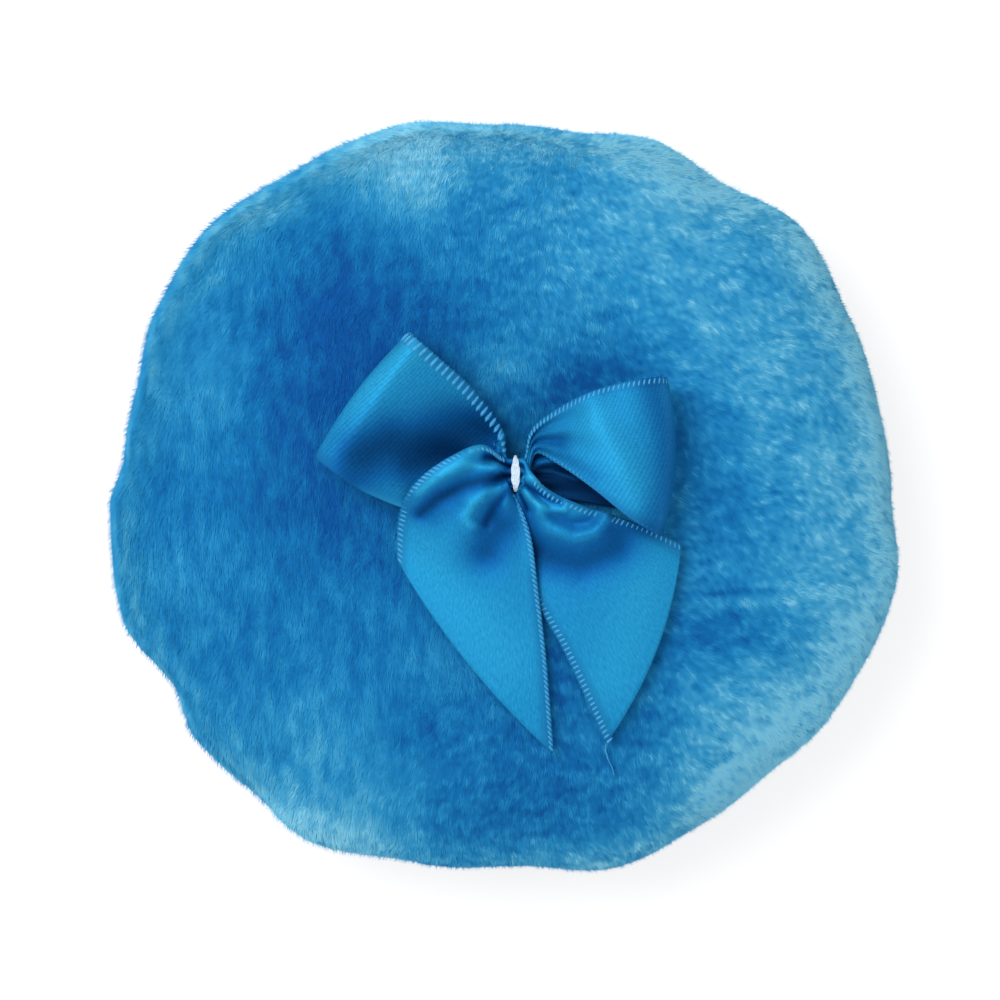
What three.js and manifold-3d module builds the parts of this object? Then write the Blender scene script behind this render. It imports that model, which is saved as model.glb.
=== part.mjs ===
// A round plush powder puff with a satin bow sewn to its crown, in millimetres, +Z up.
// Its origin is the middle of the flat face that it rests on. +X is to the bow's right,
// and +Y runs from the tips of the bow's tails towards its waist.

import * as THREE from "three";
import { mergeVertices } from "three/addons/utils/BufferGeometryUtils.js";
import Module from "manifold-3d";

const wasm = await Module();
wasm.setup();

// The puff as a whole
const puffRadius = 40; // over the pile, before the seam gathers the rim
const puffHeight = 24; // crown above the rest face
const seamSink = 1; // how far the seam lies below half of the height
const pressedDepth = 0.5; // how far the pile is flattened where the puff rests
const clearance = 0.3; // gap between neighbouring pieces
const padClearance = 0.6; // gap between the wadding and the lining
const overrun = 5; // how far every cut runs past what it cuts
const mergeReach = 0.0003; // points nearer than this are one

// How full each side is: the exponent of the arc from the middle to the rim
const crownFullness = 2.5;
const undersideFullness = 3.2;

// The covers: plush with its pile outwards, and its backing turned in at the seam
const pileThickness = 5.5;
const backingThickness = 1;
const seamAllowance = 6;

// The seam and its threads
const stitchPitch = 5;
const threadDiameter = 0.4;
const closingGapLength = 30; // rim length left open for turning and filling
const closingTurnShare = 0.62; // where that gap starts, as a share of the turn from +X
const looseEndShare = 0.35; // how much of a stitch a thread's loose end runs past its last hole

// The bow, seen from above
const waistX = 1.15;
const waistY = 2.3;
const ribbonWidth = 16;
const ribbonThickness = 0.3;
const bowReach = 20.6; // from the waist to the outermost corner of a loop
const bowRise = 6; // the loops' height over the crown
const tuftDepth = 2.2; // how far the tack stitch draws the crown in
const tuftRadius = 6.5;

// The gathered waist, where the ribbon is pleated and bound
const waistWidth = 3.6;
const pleatCount = 3;
const pleatDepth = 1.1;
const pleatGap = 0.4; // between the nested layers
const waistLift = -0.1; // the lowest layer's middle over the crown as it would be without the tuft
const bindingWidth = 1;
const bindingThickness = 0.35;
const bindingSideShare = 0.45; // the binding's width at its sides, where the turns bunch
const bindingSquareness = 4; // the exponent of its outline, which rounds off the stack's corners
const sharpestRidge = 0.4; // the least cosine that a pleat's wall is squared up by

// The tack stitch through the cover
const tackSpan = 2;
const knotRadius = 0.8;

// How finely the forms are stepped
const rimSteps = 60;
const crownSteps = 7;
const liningSteps = 4;
const threadSides = 6;
const ribbonColumns = 12;
const rowsPerStation = 2;
const bindingSteps = 32;

// The rim's lobes and puckers: the angle in degrees, and the rim's step out as a share of the radius
const rimLobeShares = [
  [0, 0.01], [13, 0.004], [27, 0.014], [42, 0.046], [56, -0.006], [66, 0.008], [80, -0.034],
  [92, -0.03], [106, 0.006], [122, 0.01], [139, 0.045], [152, 0.03], [164, -0.001], [174, -0.003],
  [182, 0.03], [198, 0.046], [210, -0.006], [218, 0.024], [230, 0.012], [239, 0.034], [256, -0.016],
  [272, -0.034], [288, 0.014], [301, -0.001], [312, -0.002], [326, 0.028], [347, 0.05],
];
const tuftRingShares = [0.5, 1.1]; // the rings that shape the tuft, as shares of its radius
const calmShare = 0.4; // the share of the radius inside which the lobes have died out

// The ribbon's stations, from the waist outwards along it. Each has the upper selvedge's place,
// the lower selvedge's, the depth of the pleats and the bulge of the middle. Along and bulge are
// shares of the bow's reach and rise, across is a share of the ribbon's width, and pleats of their depth.
const leftLoopShares = [
  [-0.13, 0.29, 0.27, -0.16, -0.14, 0.2, 0.75, 0],
  [-0.27, 0.53, 0.5, -0.39, -0.16, 0.4, 0.35, 0.03],
  [-0.43, 0.74, 0.83, -0.68, -0.06, 0.7, 0.05, 0.1],
  [-0.51, 0.87, 0.88, -0.88, 0.04, 0.77, 0, 0.1],
  [-0.55, 0.91, 0.53, -1, 0.11, 0.47, 0, 0.03],
  [-0.5, 0.83, 0.18, -0.87, -0.03, 0.15, 0, 0.02],
  [-0.32, 0.55, 0.1, -0.6, -0.22, 0.1, 0.1, 0],
  [-0.14, 0.26, 0.12, -0.2, -0.18, 0.12, 0.6, 0],
];
const rightLoopShares = [
  [0.16, 0.23, 0.12, 0.17, -0.16, 0.12, 0.6, 0],
  [0.44, 0.4, 0.1, 0.46, -0.26, 0.1, 0.1, 0],
  [0.76, 0.53, 0.18, 0.76, -0.35, 0.15, 0, 0.02],
  [0.83, 0.57, 0.53, 0.83, -0.38, 0.5, 0, 0.03],
  [0.77, 0.59, 0.88, 0.78, -0.39, 0.83, 0, 0.08],
  [0.63, 0.59, 0.98, 0.64, -0.39, 0.9, 0, 0.08],
  [0.4, 0.51, 0.83, 0.35, -0.03, 0.77, 0.1, 0.05],
  [0.19, 0.39, 0.53, 0.16, 0.12, 0.4, 0.3, 0],
  [0.12, 0.24, 0.25, 0.11, 0.03, 0.14, 0.3, 0],
];
const leftTailShares = [
  [-0.17, 0.18, 0.82, -0.05, -0.17, 0.43, 0.8, 0],
  [-0.31, 0.11, 0.93, 0.03, -0.28, 0.33, 0.5, 0],
  [-0.47, -0.02, 0.83, 0.08, -0.42, 0.23, 0.25, 0],
  [-0.56, -0.16, 0.57, 0.11, -0.72, 0.15, 0.08, 0.05],
  [-0.6, -0.36, 0.27, 0.15, -1.16, 0.12, 0, 0.03],
  [-0.6, -0.55, 0.15, 0.19, -1.81, 0.12, 0, 0],
];
const rightTailShares = [
  [0.1, 0, 0.62, 0.03, -0.17, 0.32, 0.3, 0],
  [0.2, -0.11, 0.53, 0.05, -0.3, 0.17, 0.45, 0],
  [0.35, -0.2, 0.52, 0.08, -0.49, 0.13, 0.25, 0.05],
  [0.55, -0.33, 0.45, 0.14, -0.78, 0.12, 0.05, 0.07],
  [0.74, -0.45, 0.32, 0.27, -1.2, 0.12, 0, 0.05],
  [0.84, -0.56, 0.18, 0.46, -1.69, 0.12, 0, 0],
];

// Worked out from the sizes above
const coverThickness = pileThickness + backingThickness;
const liningRadius = puffRadius - coverThickness;
const seamHeight = puffHeight / 2 - seamSink; // plane where the two covers are sewn together
const crownRise = puffHeight - seamHeight;
const undersideDrop = seamHeight + pressedDepth;
const allowanceRadius = liningRadius - seamAllowance;
const seamRadius = (liningRadius + allowanceRadius) / 2;
const threadRadius = threadDiameter / 2;
const stitchHoleRadius = threadRadius + clearance;
const stitchLift = clearance / 2 + backingThickness + clearance + threadRadius;
const stitchCount = Math.round((2 * Math.PI * seamRadius) / stitchPitch);
const closingStitches = Math.round(closingGapLength / stitchPitch);
const closingStart = Math.round(stitchCount * closingTurnShare);
const pleatSlope = (2 * pleatCount * pleatDepth) / waistWidth;
const layerStep = (ribbonThickness + pleatGap) * Math.hypot(1, pleatSlope);
const neckLength = bindingWidth + 2 * clearance;
const stackRise = 2 * layerStep + pleatDepth + ribbonThickness * Math.hypot(1, pleatSlope);

// A closed geometry as a solid that can be cut and joined
function solidOf(geometry) {
  const bare = geometry.clone();
  bare.deleteAttribute("normal");
  bare.deleteAttribute("uv");
  const merged = mergeVertices(bare, mergeReach);
  const mesh = new wasm.Mesh({
    numProp: 3,
    vertProperties: merged.attributes.position.array,
    triVerts: new Uint32Array(merged.index.array),
  });
  return new wasm.Manifold(mesh);
}

// A solid as a geometry again
function geometryOf(solid) {
  const mesh = solid.getMesh();
  const geometry = new THREE.BufferGeometry();
  geometry.setAttribute("position", new THREE.BufferAttribute(mesh.vertProperties, mesh.numProp));
  geometry.setIndex(new THREE.BufferAttribute(mesh.triVerts, 1));
  return geometry;
}

// How far the rim steps out at an angle, as a share of the radius
function rimLobe(angle) {
  const degrees = THREE.MathUtils.euclideanModulo(THREE.MathUtils.radToDeg(angle), 360);
  const after = rimLobeShares.findIndex(([start]) => start > degrees);
  const [start, from] = rimLobeShares.at(after < 0 ? -1 : after - 1);
  const [end, to] = after < 0 ? [360, rimLobeShares[0][1]] : rimLobeShares[after];
  return THREE.MathUtils.lerp(from, to, THREE.MathUtils.smoothstep(degrees, start, end));
}

// The tuft's depth at a place on the crown
function tuftAt(x, y) {
  const away = Math.hypot(x - waistX, y - waistY) / tuftRadius;
  return tuftDepth * Math.exp(-away * away);
}

// Draws a round form into the puff's lobes, and its upper side down at the tuft
function gather(geometry) {
  const place = geometry.attributes.position;
  for (let i = 0; i < place.count; i++) {
    const x = place.getX(i);
    const y = place.getY(i);
    const z = place.getZ(i);
    const share = Math.hypot(x, y) / puffRadius;
    const reach = Math.max(0, (share - calmShare) / (1 - calmShare));
    const swell = 1 + rimLobe(Math.atan2(y, x)) * reach * reach;
    const upper = THREE.MathUtils.clamp((z - seamHeight) / crownRise, 0, 1);
    place.setXYZ(i, x * swell, y * swell, z - tuftAt(x, y) * Math.sqrt(upper));
  }
  return geometry;
}

// The crown's height at a place, as it would be without the tuft
function crownHeight(x, y) {
  const share = Math.min(1, Math.hypot(x, y) / puffRadius);
  return seamHeight + crownRise * Math.pow(1 - Math.pow(share, crownFullness), 1 / crownFullness);
}

// Points of a full arc from the middle of a side to where it meets the seam: as far from the seam's
// plane as its edge. On the upper side the first few follow the tuft.
function fullArc(radius, rise, fullness, edge, steps) {
  const rings = rise > 0 ? tuftRingShares : [];
  const turns = rings.map((share) => Math.asin(Math.pow((share * tuftRadius) / radius, fullness / 2)));
  const firstTurn = turns.at(-1) ?? 0;
  const lastTurn = Math.acos(Math.pow(edge / Math.abs(rise), fullness / 2));
  for (let i = 1; i <= steps; i++) turns.push(THREE.MathUtils.lerp(firstTurn, lastTurn, i / steps));
  return [0, ...turns].map((turn) => {
    const out = radius * Math.pow(Math.sin(turn), 2 / fullness);
    return new THREE.Vector2(out, seamHeight + rise * Math.pow(Math.cos(turn), 2 / fullness));
  });
}

// Revolves a profile of radius and height about the puff's axis
function revolve(profile) {
  return new THREE.LatheGeometry(profile, rimSteps).rotateX(Math.PI / 2);
}

// Where hole number i of the seam is
function holeAngle(i) {
  return (i / stitchCount) * 2 * Math.PI;
}

// A round section for threads
function threadSection(radius) {
  return new THREE.Shape(
    Array.from({ length: threadSides }, (_, i) => {
      const turn = (i / threadSides) * 2 * Math.PI;
      return new THREE.Vector2(radius * Math.cos(turn), radius * Math.sin(turn));
    }),
  );
}

// A path with a corner at each of its points, so that a tube has one ring there
class CornerPath extends THREE.Curve {
  constructor(corners) {
    super();
    this.corners = corners;
  }

  getPoint(t, target = new THREE.Vector3()) {
    const along = t * (this.corners.length - 1);
    const i = Math.min(Math.floor(along), this.corners.length - 2);
    return target.lerpVectors(this.corners[i], this.corners[i + 1], along - i);
  }

  getUtoTmapping(u) {
    return u;
  }
}

function threadTube(corners, radius) {
  return new THREE.ExtrudeGeometry(threadSection(radius), {
    steps: corners.length - 1,
    extrudePath: new CornerPath(corners),
  });
}

// A hole for thread, upright at a place and long enough to pass through both sides of a wall
function threadHole(x, y, z, length) {
  const post = new THREE.CylinderGeometry(stitchHoleRadius, stitchHoleRadius, length, threadSides);
  return solidOf(post.rotateX(Math.PI / 2).translate(x, y, z));
}

// The stitch holes through both seam allowances
function stitchHoles() {
  const holes = [];
  for (let i = 0; i < stitchCount; i++) {
    const x = seamRadius * Math.cos(holeAngle(i));
    const y = seamRadius * Math.sin(holeAngle(i));
    holes.push(threadHole(x, y, seamHeight, 2 * stitchLift));
  }
  return holes.reduce((joined, hole) => joined.add(hole));
}

// The profile of a cover: round its outside, along the seam, round its turned-in edge and its lining.
// Side is 1 for the top cover and -1 for the bottom one.
function coverProfile(side, rise, fullness) {
  const seamEdge = clearance / 2;
  const liningEdge = seamEdge + backingThickness;
  const outside = fullArc(puffRadius, side * rise, fullness, seamEdge, crownSteps);
  const lining = liningArc(side, rise, fullness, coverThickness, liningEdge);
  const turnedIn = [seamEdge, liningEdge].map(
    (edge) => new THREE.Vector2(allowanceRadius, seamHeight + side * edge),
  );
  const profile = [...outside, ...turnedIn, ...lining.reverse()];
  return side > 0 ? profile.reverse() : profile;
}

// The arc at a depth under a cover's outside
function liningArc(side, rise, fullness, depth, edge) {
  return fullArc(puffRadius - depth, side * (rise - depth), fullness, edge, liningSteps);
}

function topCover() {
  const cloth = solidOf(revolve(coverProfile(1, crownRise, crownFullness)));
  const pierced = geometryOf(cloth.subtract(stitchHoles()));
  const tackHoles = [-1, 1].map((side) => {
    const y = waistY + (side * tackSpan) / 2;
    return threadHole(waistX, y, puffHeight, 2 * (tuftDepth + coverThickness + overrun));
  });
  return geometryOf(solidOf(gather(pierced)).subtract(tackHoles[0].add(tackHoles[1])));
}

function bottomCover() {
  const cloth = solidOf(revolve(coverProfile(-1, undersideDrop, undersideFullness)));
  const pierced = gather(geometryOf(cloth.subtract(stitchHoles())));
  const across = 2 * (puffRadius + overrun);
  const table = new THREE.BoxGeometry(across, across, overrun).translate(0, 0, -overrun / 2);
  return geometryOf(solidOf(pierced).subtract(solidOf(table)));
}

// The wadding fills the lining, is grooved for the seam allowances and hollowed under the knot
function fillingPad() {
  const grooveEdge = stitchLift + threadRadius + clearance;
  const padDepth = coverThickness + padClearance;
  const lower = liningArc(-1, undersideDrop, undersideFullness, padDepth, grooveEdge);
  const upper = liningArc(1, crownRise, crownFullness, padDepth, grooveEdge).reverse();
  const groove = [-1, 1].map(
    (side) => new THREE.Vector2(allowanceRadius - padClearance, seamHeight + side * grooveEdge),
  );
  const pad = solidOf(gather(revolve([...lower, ...groove, ...upper])));
  return geometryOf(pad.subtract(knotHollow()));
}

// The height of the lining under the tuft
function liningAtTuft() {
  const calm = crownHeight(waistX, waistY) - coverThickness;
  return calm - tuftDepth * Math.sqrt((calm - seamHeight) / crownRise);
}

// Room in the wadding for the tack stitch's loop and knot
function knotHollow() {
  const radius = tackSpan / 2 + knotRadius + 2 * clearance;
  const hollow = new THREE.SphereGeometry(radius, 2 * threadSides, threadSides);
  return solidOf(hollow.rotateX(Math.PI / 2).translate(waistX, waistY, liningAtTuft() - clearance));
}

// A running stitch from one hole of the seam to another: down through a hole, along, up through the next
function runningStitch(firstHole, lastHole) {
  const corners = [];
  const at = (turn, z) =>
    new THREE.Vector3(seamRadius * Math.cos(turn), seamRadius * Math.sin(turn), z);
  for (let i = firstHole; i <= lastHole; i++) {
    const from = seamHeight + (i % 2 === 0 ? stitchLift : -stitchLift);
    const to = 2 * seamHeight - from;
    const run = i === lastHole ? looseEndShare : 1 / 2;
    if (i === firstHole) corners.push(at(holeAngle(i - looseEndShare), from));
    corners.push(at(holeAngle(i), from), at(holeAngle(i), to), at(holeAngle(i + run), to));
  }
  return gather(threadTube(corners, threadRadius));
}

// The tack stitch: down through the cover, across under its lining by an arc with a knot, and up again
function tackThread() {
  const low = liningAtTuft() - clearance;
  const high = bindingFoot() - clearance;
  const corners = [new THREE.Vector3(waistX, waistY - tackSpan / 2, high)];
  for (let i = 0; i <= threadSides; i++) {
    const turn = Math.PI + (i / threadSides) * Math.PI;
    const y = waistY + (tackSpan / 2) * Math.cos(turn);
    corners.push(new THREE.Vector3(waistX, y, low + (tackSpan / 2) * Math.sin(turn)));
  }
  corners.push(new THREE.Vector3(waistX, waistY + tackSpan / 2, high));
  const knot = new THREE.SphereGeometry(knotRadius, 2 * threadSides, threadSides);
  knot.translate(waistX, waistY, low - tackSpan / 2);
  return geometryOf(solidOf(threadTube(corners, threadRadius)).add(solidOf(knot)));
}

// The middle of the ribbon's layers at the waist, and the height of each layer: 0 is the lowest
function layerLift(layer) {
  return waistLift + layer * layerStep;
}

// Where the binding's lowest face is
function bindingFoot() {
  return bindingMiddle() - bindingHalfRise() - bindingThickness / 2;
}

function bindingMiddle() {
  return crownHeight(waistX, waistY) + layerLift(1);
}

function bindingHalfRise() {
  return stackRise / 2 + clearance + bindingThickness / 2;
}

// The binding: a band round the pleated waist, broad over the front and bunched at the sides
function bindingBand() {
  const halfSpan = waistWidth / 2 + clearance + bindingThickness;
  const rounded = (value) => Math.sign(value) * Math.pow(Math.abs(value), 2 / bindingSquareness);
  const rings = [];
  for (let i = 0; i < bindingSteps; i++) {
    const turn = (i / bindingSteps) * 2 * Math.PI;
    const out = new THREE.Vector3(0, rounded(Math.cos(turn)), rounded(Math.sin(turn)));
    const breadth = THREE.MathUtils.lerp(bindingSideShare, 1, Math.abs(Math.sin(turn)));
    const half = (bindingWidth * breadth) / 2;
    const ringAt = (x, side) =>
      new THREE.Vector3(
        waistX + x,
        waistY + out.y * (halfSpan + (side * bindingThickness) / 2),
        bindingMiddle() + out.z * (bindingHalfRise() + (side * bindingThickness) / 2),
      );
    rings.push([ringAt(-half, -1), ringAt(half, -1), ringAt(half, 1), ringAt(-half, 1)]);
  }
  return loft(rings, true);
}

// The faces between rings of points, of which each is joined to the next
function ringFaces(rings, isRing) {
  const sides = rings[0].length;
  const index = [];
  for (let i = 0; i < rings.length - (isRing ? 0 : 1); i++) {
    const here = i * sides;
    const there = ((i + 1) % rings.length) * sides;
    for (let j = 0; j < sides; j++) {
      const next = (j + 1) % sides;
      index.push(here + j, there + next, there + j, here + j, here + next, there + next);
    }
  }
  return index;
}

// The two ends of a strip whose rings hold its front from one selvedge to the other, then its back
function endFaces(rings) {
  const sides = rings[0].length;
  const last = (rings.length - 1) * sides;
  const index = [];
  for (let j = 0; j < sides / 2 - 1; j++) {
    const back = sides - 1 - j;
    index.push(j, back - 1, j + 1, j, back, back - 1);
    index.push(last + j, last + j + 1, last + back - 1, last + j, last + back - 1, last + back);
  }
  return index;
}

// Joins rings of points, the last to the first or with an end on each
function loft(rings, isRing) {
  const index = ringFaces(rings, isRing);
  if (!isRing) index.push(...endFaces(rings));
  return new THREE.BufferGeometry().setFromPoints(rings.flat()).setIndex(index);
}

// The pleats' zigzag across the ribbon, from -1 to 1
function zigzag(across) {
  return (2 / Math.PI) * Math.asin(Math.sin(2 * Math.PI * pleatCount * across));
}

// A row of points across the ribbon. The selvedges' lifts are heights over the crown.
function ribbonRow(upper, lower, pleat, bulge) {
  const row = [];
  for (let j = 0; j <= ribbonColumns; j++) {
    const across = j / ribbonColumns;
    const point = new THREE.Vector3().lerpVectors(upper, lower, across);
    const swell = bulge * 4 * across * (1 - across);
    point.z += crownHeight(point.x, point.y) + swell + (pleat * zigzag(across)) / 2;
    row.push(point);
  }
  return row;
}

// A row from a line of the tables of shares
function stationRow([upperX, upperY, upperZ, lowerX, lowerY, lowerZ, pleat, bulge]) {
  const place = (x, y, z) =>
    new THREE.Vector3(waistX + x * bowReach, waistY + y * ribbonWidth, z * bowRise);
  const upper = place(upperX, upperY, upperZ);
  const lower = place(lowerX, lowerY, lowerZ);
  return ribbonRow(upper, lower, pleat * pleatDepth, bulge * bowRise);
}

// The two rows of the neck, where the binding holds the pleats side by side
function neckRows(layer, side) {
  return [side, -side].map((end) => {
    const x = waistX + (end * neckLength) / 2;
    const edge = (way) => new THREE.Vector3(x, waistY + (way * waistWidth) / 2, layerLift(layer));
    return ribbonRow(edge(1), edge(-1), pleatDepth, 0);
  });
}

// Smooth rows between the stations: each column of points is a curve along the ribbon
function smoothRows(rows, isRing) {
  const columns = rows[0].map(
    (_, j) => new THREE.CatmullRomCurve3(rows.map((row) => row[j]), isRing, "centripetal"),
  );
  const spans = isRing ? rows.length : rows.length - 1;
  const count = spans * rowsPerStation + (isRing ? 0 : 1);
  return Array.from({ length: count }, (_, i) =>
    columns.map((column) => column.getPoint(i / (spans * rowsPerStation))),
  );
}

// The way that the ribbon faces at a point, longer at the ridge of a pleat so that its walls stay full
function facing(rows, i, j, isRing) {
  const row = (k) =>
    rows[isRing ? (k + rows.length) % rows.length : THREE.MathUtils.clamp(k, 0, rows.length - 1)];
  const along = new THREE.Vector3().subVectors(row(i + 1)[j], row(i - 1)[j]);
  const faces = [-1, 1]
    .filter((way) => rows[i][j + way])
    .map((way) => {
      const across = new THREE.Vector3().subVectors(rows[i][j + way], rows[i][j]);
      return across.multiplyScalar(way).cross(along).normalize();
    });
  const middle = faces.reduce((sum, face) => sum.add(face), new THREE.Vector3()).normalize();
  return middle.divideScalar(Math.max(sharpestRidge, middle.dot(faces[0])));
}

// A ribbon of even thickness over rows of points
function ribbonCloth(rows, isRing) {
  const rings = rows.map((row, i) => {
    const lift = row.map((_, j) => facing(rows, i, j, isRing).multiplyScalar(ribbonThickness / 2));
    const front = row.map((point, j) => point.clone().add(lift[j]));
    const back = row.map((point, j) => point.clone().sub(lift[j]));
    return [...front, ...back.reverse()];
  });
  return loft(rings, isRing);
}

function loopRibbon() {
  const stations = [
    ...neckRows(1, 1),
    ...leftLoopShares.map(stationRow),
    ...neckRows(0, -1),
    ...rightLoopShares.map(stationRow),
  ];
  return ribbonCloth(smoothRows(stations, true), true);
}

function tailRibbon() {
  const stations = [
    ...leftTailShares.map(stationRow).reverse(),
    ...neckRows(2, -1),
    ...rightTailShares.map(stationRow),
  ];
  return ribbonCloth(smoothRows(stations, false), false);
}

const plush = { color: 0x1d7ebd, roughness: 0.95 };
const wadding = { color: 0xf2efe8, roughness: 1 };
const satin = { color: 0x2e9ccf, roughness: 0.35 };
const blueThread = { color: 0x1a6fb0, roughness: 0.7 };
const whiteThread = { color: 0xd8e6f4, roughness: 0.6 };

function piece(name, geometry, finish) {
  const mesh = new THREE.Mesh(geometry, new THREE.MeshStandardMaterial({ ...finish, metalness: 0 }));
  mesh.name = name;
  return mesh;
}

// The seam's last hole comes just before the closing run, once round from its first
const afterGap = closingStart + closingStitches;
const seamEnd = closingStart + stitchCount - 1;

const puff = new THREE.Group();
puff.add(piece("top_cover", topCover(), plush));
puff.add(piece("bottom_cover", bottomCover(), plush));
puff.add(piece("filling_pad", fillingPad(), wadding));
puff.add(piece("seam_thread", runningStitch(afterGap, seamEnd), blueThread));
puff.add(piece("closing_thread", runningStitch(closingStart, afterGap - 1), blueThread));
puff.add(piece("bow_loop_ribbon", loopRibbon(), satin));
puff.add(piece("bow_tail_ribbon", tailRibbon(), satin));
puff.add(piece("bow_binding_thread", bindingBand(), whiteThread));
puff.add(piece("bow_tack_thread", tackThread(), whiteThread));

export default puff;
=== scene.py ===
# %% [markdown]
# A powder puff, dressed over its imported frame
#
# The real thing is a thin round cushion of short-pile plush with a satin bow sewn to its crown. Plush
# shows thousands of soft fibres, and satin shows its folds. So the plan is: a plain studio, two covers
# that each carry a real pile of strands, a bow of two pleated ribbons with stitched selvedges, and the
# few threads that hold it all.
# The frame comes first. It holds every solid at its true size and place, in metres.

import bmesh
import bpy
import numpy as np
from mathutils import Matrix, Vector, noise


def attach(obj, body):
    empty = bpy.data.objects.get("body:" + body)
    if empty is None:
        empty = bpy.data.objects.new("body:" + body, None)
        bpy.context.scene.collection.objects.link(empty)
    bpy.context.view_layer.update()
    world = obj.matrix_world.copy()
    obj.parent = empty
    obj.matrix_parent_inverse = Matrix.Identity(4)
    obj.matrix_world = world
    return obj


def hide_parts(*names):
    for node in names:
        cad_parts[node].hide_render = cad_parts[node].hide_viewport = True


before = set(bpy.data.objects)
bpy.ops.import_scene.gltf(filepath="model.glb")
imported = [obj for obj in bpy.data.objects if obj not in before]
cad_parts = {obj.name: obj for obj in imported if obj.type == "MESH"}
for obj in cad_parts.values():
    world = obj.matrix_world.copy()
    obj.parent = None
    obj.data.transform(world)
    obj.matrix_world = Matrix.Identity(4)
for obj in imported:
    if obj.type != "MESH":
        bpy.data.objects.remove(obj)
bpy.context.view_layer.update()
print("solids in the frame:", ", ".join(sorted(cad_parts)))

# %% [markdown]
# Sizes
#
# What is dressed has to follow the solids, so the sizes are the same ones, under the same names. `mm`
# turns millimetres into Blender's metres.

# %% Sizes
mm = 0.001

puff_radius = 40 * mm
puff_height = 24 * mm
seam_height = 11 * mm
pressed_depth = 0.5 * mm
clearance = 0.3 * mm
crown_fullness = 2.5
underside_fullness = 3.2
pile_thickness = 5.5 * mm
backing_thickness = 1 * mm
seam_allowance = 6 * mm
cover_thickness = pile_thickness + backing_thickness

waist = Vector((1.15, 2.3, 0)) * mm
ribbon_width = 16 * mm
bow_reach = 20.6 * mm
bow_rise = 6 * mm
waist_width = 2.9 * mm
neck_length = 1.6 * mm
layer_step = 1.46 * mm
waist_lift = -0.1 * mm
tuft_depth = 2.2 * mm
tuft_radius = 6.5 * mm

crown_rise = puff_height - seam_height
underside_drop = seam_height + pressed_depth
print("crown rises", round(crown_rise / mm, 1), "mm over the seam")

# %% [markdown]
# The puff's form
#
# A puff is a round bag: full in the middle, and drawn into lobes at the rim, because the seam inside
# gathers the cloth. One function steps the rim in and out by its angle, another draws the crown down
# under the bow, and `gathered` applies both to any points, so the covers and their pile can't drift
# apart.

# %% The rim's lobes and the tuft
rim_lobes = np.array([
    (0, 0.01), (13, 0.004), (27, 0.014), (42, 0.046), (56, -0.006), (66, 0.008), (80, -0.034),
    (92, -0.03), (106, 0.006), (122, 0.01), (139, 0.045), (152, 0.03), (164, -0.001), (174, -0.003),
    (182, 0.03), (198, 0.046), (210, -0.006), (218, 0.024), (230, 0.012), (239, 0.034),
    (256, -0.016), (272, -0.034), (288, 0.014), (301, -0.001), (312, -0.002), (326, 0.028),
    (347, 0.05), (360, 0.01),
])
calm_share = 0.4


def smooth(share):
    share = np.clip(share, 0, 1)
    return share * share * (3 - 2 * share)


def rim_lobe(angle):
    degrees = np.degrees(angle) % 360
    after = np.searchsorted(rim_lobes[:, 0], degrees, side="right").clip(1, len(rim_lobes) - 1)
    start, step = rim_lobes[after - 1].T
    end, next_step = rim_lobes[after].T
    return step + (next_step - step) * smooth((degrees - start) / (end - start))


def tuft_at(x, y):
    away = np.hypot(x - waist.x, y - waist.y) / tuft_radius
    return tuft_depth * np.exp(-away * away)


def gathered(places):
    x, y, z = places.T
    share = np.hypot(x, y) / puff_radius
    reach = np.clip((share - calm_share) / (1 - calm_share), 0, None)
    swell = 1 + rim_lobe(np.arctan2(y, x)) * reach ** 2
    upper = np.clip((z - seam_height) / crown_rise, 0, 1)
    return np.stack((x * swell, y * swell, z - tuft_at(x, y) * np.sqrt(upper)), axis=1)


def crown_height(x, y):
    share = np.minimum(1, np.hypot(x, y) / puff_radius)
    return seam_height + crown_rise * (1 - share ** crown_fullness) ** (1 / crown_fullness)


print("rim steps from", rim_lobes[:, 1].min(), "to", rim_lobes[:, 1].max(), "of the radius")

# %% [markdown]
# Small helpers
#
# Every piece is made the same way: a bmesh is shaped with operators, its points are moved by a
# function, and it becomes an object that sits at the origin. `move_points` hands all points to numpy
# at once, which is faster than a loop.

# %% Helpers for pieces
merge_distance = 0.001 * mm


def link_object(name, data):
    made = bpy.data.objects.new(name, data)
    bpy.context.scene.collection.objects.link(made)
    return made


def move_points(bm, place):
    points = np.array([vert.co for vert in bm.verts])
    for vert, point in zip(bm.verts, place(points)):
        vert.co = point


def add_piece(name, bm):
    mesh = bpy.data.meshes.new(name)
    bm.to_mesh(mesh)
    bm.free()
    mesh.shade_smooth()
    return link_object(name, mesh)


def add_values(mesh, name, values):
    attribute = mesh.attributes.new(name, "FLOAT", "POINT")
    attribute.data.foreach_set("value", values.astype(np.float32))


def apply_modifiers(piece):
    evaluated = piece.evaluated_get(bpy.context.evaluated_depsgraph_get())
    mesh = bpy.data.meshes.new_from_object(evaluated)
    piece.modifiers.clear()
    piece.data = mesh


def triangles(piece):
    return sum(len(face.vertices) - 2 for face in piece.data.polygons)


def unit(vectors):
    return vectors / np.maximum(np.linalg.norm(vectors, axis=1, keepdims=True), 1e-12)


def distances(path):
    return np.concatenate(([0], np.cumsum(np.linalg.norm(np.diff(path, axis=0), axis=1))))


# %% [markdown]
# The studio
#
# The photograph is taken from straight above, on white, with a soft shadow at the lower right. The
# camera is far away with a long lens, so that the puff's sides stay hidden. The floor adds a little
# light of its own to what the camera sees, so that it comes out white and the shadow stays.

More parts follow.
